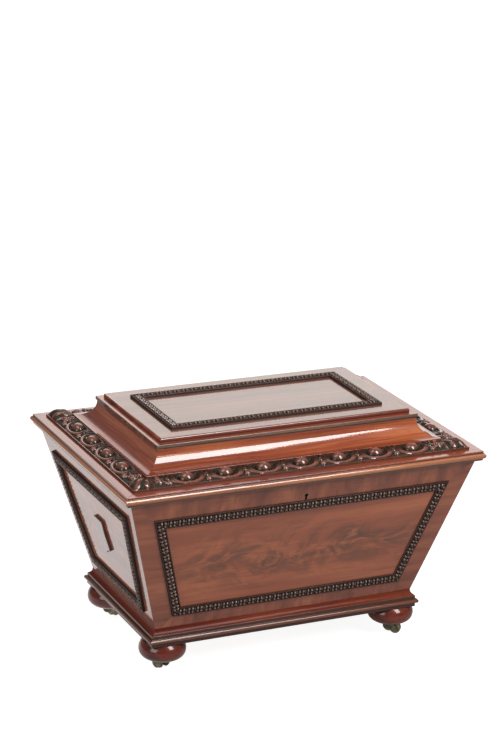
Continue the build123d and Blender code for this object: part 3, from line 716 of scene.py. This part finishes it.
def corner_heights(d, t, end):
    """Carved height of half a corner, d along and t in from its tip, up to the first egg's unit."""
    inset = t + BORDER_OUTER
    carving = (corner_leaf(d, t), *corner_scroll(d, t, end), *pearl_and_husk(end - d, inset))
    return raised(inset, ground_height(inset), *carving)


def closed_strip(name, along, inset, heights, place):
    """A carved length: the relief over a grid, its two side walls and its underside, open at the ends."""
    height, wear_and_light = heights
    columns, rows = along.shape
    foot = np.zeros((columns, 1))
    along = np.hstack([along[:, :1], along, along[:, -1:]])
    inset = np.hstack([inset[:, :1], inset, inset[:, -1:]])
    height = np.hstack([foot, height, foot])
    # The outer wall lighter with wear and painted highlight
    wear_and_light = np.hstack([foot + WALL_WEAR_AND_HIGHLIGHT, wear_and_light, foot])
    rows += 2
    points = place(along.ravel(), inset.ravel(), height.ravel())
    faces = []
    for i in range(columns - 1):
        for j in range(rows):
            k = (j + 1) % rows
            faces.append((i * rows + j, (i + 1) * rows + j, (i + 1) * rows + k, i * rows + k))
    return new_piece(name, points, faces, wear_and_light.ravel())


def border_side(side):
    """One side of the border: a row of eggs between two corner halves."""
    ox, oy = OUTWARD[side]
    eggs, run = EGG_COUNT[ALONG[side]], CORNER_RUN[ALONG[side]]
    half_run, half_out = (NOSING_Y, NOSING_X) if ox else (NOSING_X, NOSING_Y)
    direction = Vector((-oy, ox, 0))

    def place(along, inset, height):
        out = half_out - inset
        x = ox * out + direction.x * along
        y = oy * out + direction.y * along
        return np.stack([x, y, RAIL_TOP + height], axis=1) * MM

    rows = int(round((BORDER_INNER - BORDER_OUTER) / CARVING_STEP)) + 1
    insets = np.linspace(BORDER_OUTER, BORDER_INNER, rows)
    half = EGG_PITCH / 2
    stations = np.linspace(-half, half, int(round(EGG_PITCH / CARVING_STEP)) + 1)
    s, inset = np.meshgrid(stations, insets, indexing="ij")
    unit = closed_strip(f"{side}_egg", s, inset, egg_heights(s, inset), place)
    start = direction * (-(eggs - 1) / 2 * EGG_PITCH * MM)
    pieces = [row_of(unit, eggs, direction * (EGG_PITCH * MM), start, CARVED)]
    for hand in (-1, 1):
        share = np.linspace(0, 1, int(round(run / CARVING_STEP)))
        u, inset = np.meshgrid(share, insets, indexing="ij")
        t = inset - BORDER_OUTER
        d = t + (run - t) * u
        along = hand * (half_run - BORDER_OUTER - d)
        corner = closed_strip(f"{side}_corner{hand}", along, inset, corner_heights(d, t, run), place)
        if hand > 0:
            corner.data.flip_normals()
        pieces.append(settled(corner, CARVED))
    whole = joined(f"egg_and_dart_{side}", pieces, "lid", f"carved_border_{side}", slot="carved_mahogany")
    with worked_into(whole.data, whole.data) as work:
        bmesh.ops.holes_fill(work, edges=[e for e in work.edges if e.is_boundary], sides=0)
        bmesh.ops.recalc_face_normals(work, faces=work.faces)
    smoothed(whole.data, CARVING_EDGE)


for side in OUTWARD:
    border_side(side)


# Bead-and-reel frames, in millimetres: the moulding's section, and a reel's across and along it
BED = [(0, 0), (0, 2.3), (0.5, 2.9), (1.7, 2.9), (2.4, 2.0), (3.2, 1.3), (16.3, 1.3), (17.1, 2.0),
       (17.8, 2.9), (19.0, 2.9), (19.5, 2.3), (19.5, 0)]
REEL_ACROSS = [(3.0, 1.2), (3.5, 3.7), (6.3, 6.0), (9.75, 3.4), (13.2, 6.0), (16.0, 3.7), (16.5, 1.2)]
REEL_ALONG = [(-2.3, 0.0), (-1.5, 0.86), (0.0, 1.0), (1.5, 0.86), (2.3, 0.0)]
REEL_MIDDLES = (-3.8, 3.8)
BEAD_PITCH, BED_FLOOR, BED_FOOT, BED_OVERRUN = 18.5, 1.2, 0.1, 30
BEAD_RINGS, BEAD_SIDES = 4, 7
BEAD_LONG, BEAD_WIDE, BEAD_HIGH = 3.6, 4.4, 3.1
# Levels of wear and painted highlight on the moulding's high points
WORN_AND_LIT_FROM, BED_WEAR_AND_HIGHLIGHT, BEAD_WEAR_AND_HIGHLIGHT = 2.5, 0.15, 0.3


def grid_faces(first, rows, wide):
    """Faces between rows of points that begin at a first one."""
    corners = [first + i * wide + j for i in range(rows - 1) for j in range(wide - 1)]
    return [(k, k + wide, k + wide + 1, k + 1) for k in corners]


def bead_unit(name):
    """Two reels and the oval bead beyond them: u runs along the moulding, v across it, w up."""
    points, faces, wear_and_light = [], [], []
    centre = BEAD_WIDTH / 2
    for middle in REEL_MIDDLES:
        faces += grid_faces(len(points), len(REEL_ALONG), len(REEL_ACROSS))
        for along, share in REEL_ALONG:
            for across, height in REEL_ACROSS:
                squeeze = centre + (across - centre) * (0.93 + 0.07 * share)
                points.append((middle + along, squeeze, BED_FLOOR + (height - BED_FLOOR) * share))
                # The reels lighter towards their tops: wear and painted highlight
                wear_and_light.append(share * np.clip((height - 2.9) / 2.4, 0, 1))
    faces += grid_faces(len(points), BEAD_RINGS + 1, BEAD_SIDES)
    for i in range(BEAD_RINGS + 1):
        tilt = pi * i / BEAD_RINGS
        radius = sin(tilt)
        for j in range(BEAD_SIDES):
            turn = pi * j / (BEAD_SIDES - 1)
            along = BEAD_PITCH / 2 - BEAD_LONG * cos(tilt)
            across = centre - BEAD_WIDE * radius * cos(turn)
            points.append((along, across, BED_FLOOR + BEAD_HIGH * radius * sin(turn)))
            wear_and_light.append(BEAD_WEAR_AND_HIGHLIGHT * radius * sin(turn))
    return new_piece(name, np.array(points) * MM, faces, wear_and_light)


def bead_length(name, length, cuts):
    """A straight length of moulding with its ends cut to the mitres, in its own coordinates."""
    count = max(2, round(length / BEAD_PITCH))
    pitch = length / count
    unit = bead_unit(name)
    unit.data.transform(Matrix.Diagonal((pitch / BEAD_PITCH, 1, 1, 1)))

    # One unit more than fits, so that both mitres cut through a pair of reels
    run = row_of(unit, count + 1, (pitch * MM, 0, 0), (0, 0, 0), BEADED)
    points = [(u, v, w) for u in (-BED_OVERRUN, length + BED_OVERRUN) for v, w in BED]
    wide = len(BED)
    faces = [(j, j + 1, wide + j + 1, wide + j) for j in range(wide - 1)]
    faces.append((wide - 1, 0, wide, 2 * wide - 1))
    levels = [BED_WEAR_AND_HIGHLIGHT if w > WORN_AND_LIT_FROM else 0.0 for _ in range(2) for _, w in BED]
    bed = settled(new_piece(name + "_bed", np.array(points) * MM, faces, levels), BEADED)
    with worked_into(run.data, run.data, bed.data) as work:
        for point, normal in cuts:
            geometry = list(work.verts) + list(work.edges) + list(work.faces)
            bmesh.ops.bisect_plane(work, geom=geometry, plane_co=point, plane_no=normal, clear_outer=True)
    bpy.data.objects.remove(bed)
    return run


def bead_frame(side, body, origin, x_dir, y_dir, corners, lift):
    """A mitred frame on a face: corners are its outer ones, anticlockwise seen from outside."""
    normal = x_dir.cross(y_dir)
    lengths = []
    for index in range(4):
        before, here, there, after = (Vector(corners[(index + step) % 4]) for step in (-1, 0, 1, 2))
        along = (there - here).normalized()
        inward = Vector((-along.y, along.x))
        length = (there - here).length
        cuts = []
        for corner, one, other, start in ((here, before, there, True), (there, here, after, False)):
            bisector = (one - corner).normalized() + (other - corner).normalized()
            across = Vector((-bisector.y, bisector.x)).normalized()
            local = Vector((across.dot(along), across.dot(inward), 0))
            if (local.x > 0) == start:
                local = -local
            cuts.append((Vector((0 if start else length * MM, 0, 0)), local))
        run = bead_length(f"{side}_beads_{index}", length, cuts)

        # All but the foot of the moulding is lifted
        for vertex in run.data.vertices:
            if vertex.co.z > BED_FOOT * MM:
                vertex.co.z += lift * MM
        to_world = Matrix.Identity(4)
        axes = [x_dir * along.x + y_dir * along.y, x_dir * inward.x + y_dir * inward.y, normal]
        for column, axis in enumerate(axes):
            for row in range(3):
                to_world[row][column] = axis[row]
        place = origin + (x_dir * here.x + y_dir * here.y) * MM
        run.data.transform(Matrix.Translation(place) @ to_world)
        lengths.append(run)
    whole = joined(f"bead_and_reel_{side}", lengths, body, f"{side}_bead_frame", slot="carved_mahogany")
    smoothed(whole.data, BEAD_EDGE)


# How much prouder than in the CAD the frames stand, in millimetres
END_LIFT, FRONT_LIFT, LID_LIFT = 2.4, 0.3, 2.0


def carcase_frame(side):
    """The frame of a carcase face, which leans outwards and narrows towards its foot."""
    ox, oy = OUTWARD[side]
    rise, reach, lift = (SPLAY_X, TOP_X, END_LIFT) if ox else (SPLAY_Y, TOP_Y, FRONT_LIFT)
    half_top, narrowing, margin = face_width(side)
    origin = Vector((ox * reach, oy * reach, JOINT)) * MM
    x_dir = Vector((-oy, ox, 0))
    normal = Vector((ox, oy, -rise)).normalized()
    y_dir = normal.cross(x_dir)
    corners = []
    for height, ends in ((FRAME_BOTTOM, (-1, 1)), (FRAME_TOP, (1, -1))):
        drop = JOINT - height
        half = half_top - narrowing * drop - margin
        corners += [(end * half, -drop * hypot(1, rise)) for end in ends]
    bead_frame(side, "carcase", origin, x_dir, y_dir, corners, lift)


def lid_frame():
    """The frame on the flat of the lid."""
    x, y = LID_FRAME_X, LID_FRAME_Y
    origin, x_dir, y_dir = Vector((0, 0, LID_TOP * MM)), Vector((1, 0, 0)), Vector((0, 1, 0))
    bead_frame("lid", "lid", origin, x_dir, y_dir, [(-x, -y), (x, -y), (x, y), (-x, y)], LID_LIFT)


for side in OUTWARD:
    carcase_frame(side)
lid_frame()


# The CAD's pieces in their finishes, with arrises eased by so many millimetres
for side, grain in ALONG.items():
    panel, cove_tones = (f"{side}_panel", ORANGE) if grain == "x" else (f"{side}_end_panel", RED)
    cove = polished(f"cove_wood_{side}", grain, cove_tones, 1.3)
    softened(panel, "carcase", panel_veneer(f"veneer_{side}", side), 0.7)
    softened(f"plinth_{side}", "carcase", plinth_wood(f"plinth_wood_{side}", grain), 0.4)
    softened(f"lid_rail_{side}", "lid", rail_wood(f"rail_wood_{side}", grain), 0.5)
    softened(f"lid_cove_{side}", "lid", cove, 0.4)
# The board's moulded face takes the olive tone as painted shade
BOARD_WOOD = step_wood("top_board_wood", RED, OLIVE, BOARD_TOP, COVE_TOP)
TOP_WOOD = step_wood("top_panel_wood", BROWN, RED, LID_TOP, BOARD_TOP)
BUN_WOOD = polished("bun_wood", "x", DEEP, specular=0.05, coat=0.14, shine=0.75)
softened("lid_top_board", "lid", BOARD_WOOD, 0.4)
softened("lid_top_panel", "lid", TOP_WOOD, 0)
for corner in ("front_left", "front_right", "back_left", "back_right"):
    softened(f"bun_foot_{corner}", "carcase", BUN_WOOD, 0.4)
    softened(f"castor_plate_{corner}", "carcase", BRASS, 0.2)
    softened(f"castor_fork_{corner}", f"castor_fork_{corner}", BRASS, 0.4)
    softened(f"castor_wheel_{corner}", f"castor_wheel_{corner}", BRASS, 0.2)
for hand in ("left", "right"):
    tablet = polished(f"tablet_wood_{hand}", "z", BROWN)
    softened(f"{hand}_end_tablet", "carcase", tablet, 0.8, 3)
    softened(f"{hand}_hinge_carcase_leaf", "carcase", BRASS, 0.2)
    softened(f"{hand}_hinge_lid_leaf", "lid", BRASS, 0.2)
    softened(f"{hand}_hinge_pin", "carcase", BRASS, 0.2)
softened("bottom_board", "carcase", BARE, 0)
softened("corner_blocks", "carcase", BARE, 0.5)
softened("lead_lining", "carcase", LEAD, 0.8)
softened("lock_case", "carcase", BRASS, 0.2)
softened("keyhole_escutcheon", "carcase", blackened_brass(), 0.15)
softened("lock_bolt", "lock_bolt", BRASS, 0.2)
softened("link_plate", "lid", BRASS, 0.2)


# Screws of the hinges and the lock, in millimetres: a head's rings and slot, then the rows' first screws
HEAD_RINGS = ((0.0, 0.45), (1.4, 0.42), (2.6, 0.3), (3.1, 0.0))
HEAD_SIDES = 16
SLOT_HALF_WIDTH, SLOT_REACH, SLOT_DEPTH = 0.62, 2.9, 0.5
HINGE_SCREWS_Y, HINGE_PITCH = 236, 22
SELVEDGE_SCREW, SELVEDGE_PITCH = (-39, -235.3, JOINT), 70
PLATE_SCREW, PLATE_PITCH = (-28, -232.2, JOINT), 56


def screw_head(name, facing):
    """A slotted, slightly domed head at the origin, looking up or down."""
    points, faces = [], []
    for radius, height in HEAD_RINGS:
        for j in range(HEAD_SIDES):
            turn = 2 * pi * j / HEAD_SIDES
            x, y = radius * cos(turn), radius * sin(turn)
            sunk = SLOT_DEPTH if abs(y) < SLOT_HALF_WIDTH and radius < SLOT_REACH else 0.0
            points.append((x, y, (height - sunk) * facing))
    for i in range(len(HEAD_RINGS) - 1):
        for j in range(HEAD_SIDES):
            near, far = i * HEAD_SIDES, (i + 1) * HEAD_SIDES
            k = (j + 1) % HEAD_SIDES
            faces.append((near + j, far + j, far + k, near + k))
    head = new_piece(name, np.array(points) * MM, faces)
    with worked_into(head.data, head.data) as work:
        bmesh.ops.remove_doubles(work, verts=work.verts, dist=WELDED)
        bmesh.ops.recalc_face_normals(work, faces=work.faces)
    return head


def screws(name, body, count, pitch, start, facing):
    """A row of screw heads that ride on a body."""
    heads = row_of(screw_head(name, facing), count, (pitch * MM, 0, 0), [c * MM for c in start], BRASS)
    smoothed(heads.data, SCREW_EDGE)
    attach(heads, body)


for hand in ("left", "right"):
    one_end, other_end = corners_of(f"{hand}_hinge_carcase_leaf")
    first = ((one_end[0] + other_end[0]) / 2 - HINGE_PITCH, HINGE_SCREWS_Y, JOINT)
    screws(f"{hand}_leaf_screws_below", "carcase", 3, HINGE_PITCH, first, 1)
    screws(f"{hand}_leaf_screws_above", "lid", 3, HINGE_PITCH, first, -1)
screws("selvedge_screws", "carcase", 2, SELVEDGE_PITCH, SELVEDGE_SCREW, 1)
screws("link_plate_screws", "lid", 2, PLATE_PITCH, PLATE_SCREW, -1)


# Floor, light and surroundings. Reflections see a dimmer room and floor than the camera does
SCREEN_TOWARDS, SCREEN_EDGE, SCREEN_FULL = Vector((0.407, 0.86, 0.305)), 0.90, 0.945
ROOM_GLOW, SCREEN_GLOW, BACKDROP_GLOW = 0.26, 1.58, 1.1
WARM_WHITE = (1, 0.965, 0.93, 1)
FLOOR_REACH, FLOOR_GLOW = 30, 0.9
NEAR_FLOOR, NEAR_FLOOR_GLOW, FAR_FLOOR_GLOW = (-0.45, 0.55, 0), 0.85, 0.10

# Lamps: where each stands, the point it is turned to, its width and height, and its power in watts
LAMPS = {
    "front_right_strip": ((0.85, -2.05, 2.35), (-0.05, -0.15, 0.42), (0.95, 1.9), 102),
    "left_fill": ((-2.6, -1.2, 1.2), (0, 0, 0.3), (1.5, 1.5), 35),
    "top_box": ((-1.1, -0.2, 2.9), (0, 0, 0.4), (1.6, 1.6), 26),
}


def studio_world():
    """A dim room with a bright screen behind the cooler, which the level surfaces reflect."""
    world = bpy.data.worlds.new("studio")
    world.use_nodes = True
    room = Nodes(world.node_tree)
    towards = {0: room.add("ShaderNodeTexCoord").outputs["Generated"], 1: SCREEN_TOWARDS.normalized()}
    facing = room.add("ShaderNodeVectorMath", towards, operation="DOT_PRODUCT").outputs["Value"]
    screen = room.between(facing, SCREEN_EDGE, SCREEN_FULL, interpolation_type="SMOOTHSTEP")
    level = room.math("MULTIPLY_ADD", screen, SCREEN_GLOW, ROOM_GLOW)
    seen = room.add("ShaderNodeLightPath").outputs["Is Camera Ray"]
    level = room.math("MAXIMUM", level, room.math("MULTIPLY", seen, BACKDROP_GLOW))
    glow = room.add("ShaderNodeBackground", {"Color": WARM_WHITE, "Strength": level})
    room.add("ShaderNodeOutputWorld", {0: glow.outputs[0]})
    bpy.context.scene.world = world


def floor_paper():
    """White paper, which fades into the dim room where only reflections see it."""
    finish = Finish("floor_paper")
    colour = finish.ramp(finish.noise((1.5, 1.5, 1.5), 2.0), (0.3, [0.31] * 3), (0.7, [0.33] * 3))
    apart = {0: finish.place, 1: NEAR_FLOOR}
    away = finish.add("ShaderNodeVectorMath", apart, operation="DISTANCE").outputs["Value"]
    mirrored = finish.between(away, 0.45, 0.85, NEAR_FLOOR_GLOW, FAR_FLOOR_GLOW)
    seen = finish.add("ShaderNodeLightPath").outputs["Is Camera Ray"]
    glow = finish.add("ShaderNodeMix", {0: seen, 2: mirrored, 3: FLOOR_GLOW}, data_type="FLOAT").outputs[0]
    return finish.surface(
        Base_Color=colour, Roughness=0.9, Emission_Color=(1, 1, 1, 1), Emission_Strength=glow,
    )


def lamp(name, place, aim, size, power):
    """A rectangular soft box that is turned towards a point."""
    light = bpy.data.lights.new(name, "AREA")
    light.shape = "RECTANGLE"
    light.size, light.size_y = size
    light.energy = power
    holder = in_scene(name, light)
    holder.location = place
    holder.rotation_mode = "QUATERNION"
    holder.rotation_quaternion = (Vector(aim) - Vector(place)).to_track_quat("-Z", "Y")


def studio():
    """The floor, the room and the lamps."""
    reach = FLOOR_REACH
    corners = [(-reach, -reach, 0), (reach, -reach, 0), (reach, reach, 0), (-reach, reach, 0)]
    floor = new_piece("studio_floor", corners, [(0, 1, 2, 3)])
    floor.data.materials.append(floor_paper())
    studio_world()
    for name, (place, aim, size, power) in LAMPS.items():
        lamp(name, place, aim, size, power)
    bpy.context.scene.view_settings.view_transform = "Standard"


studio()
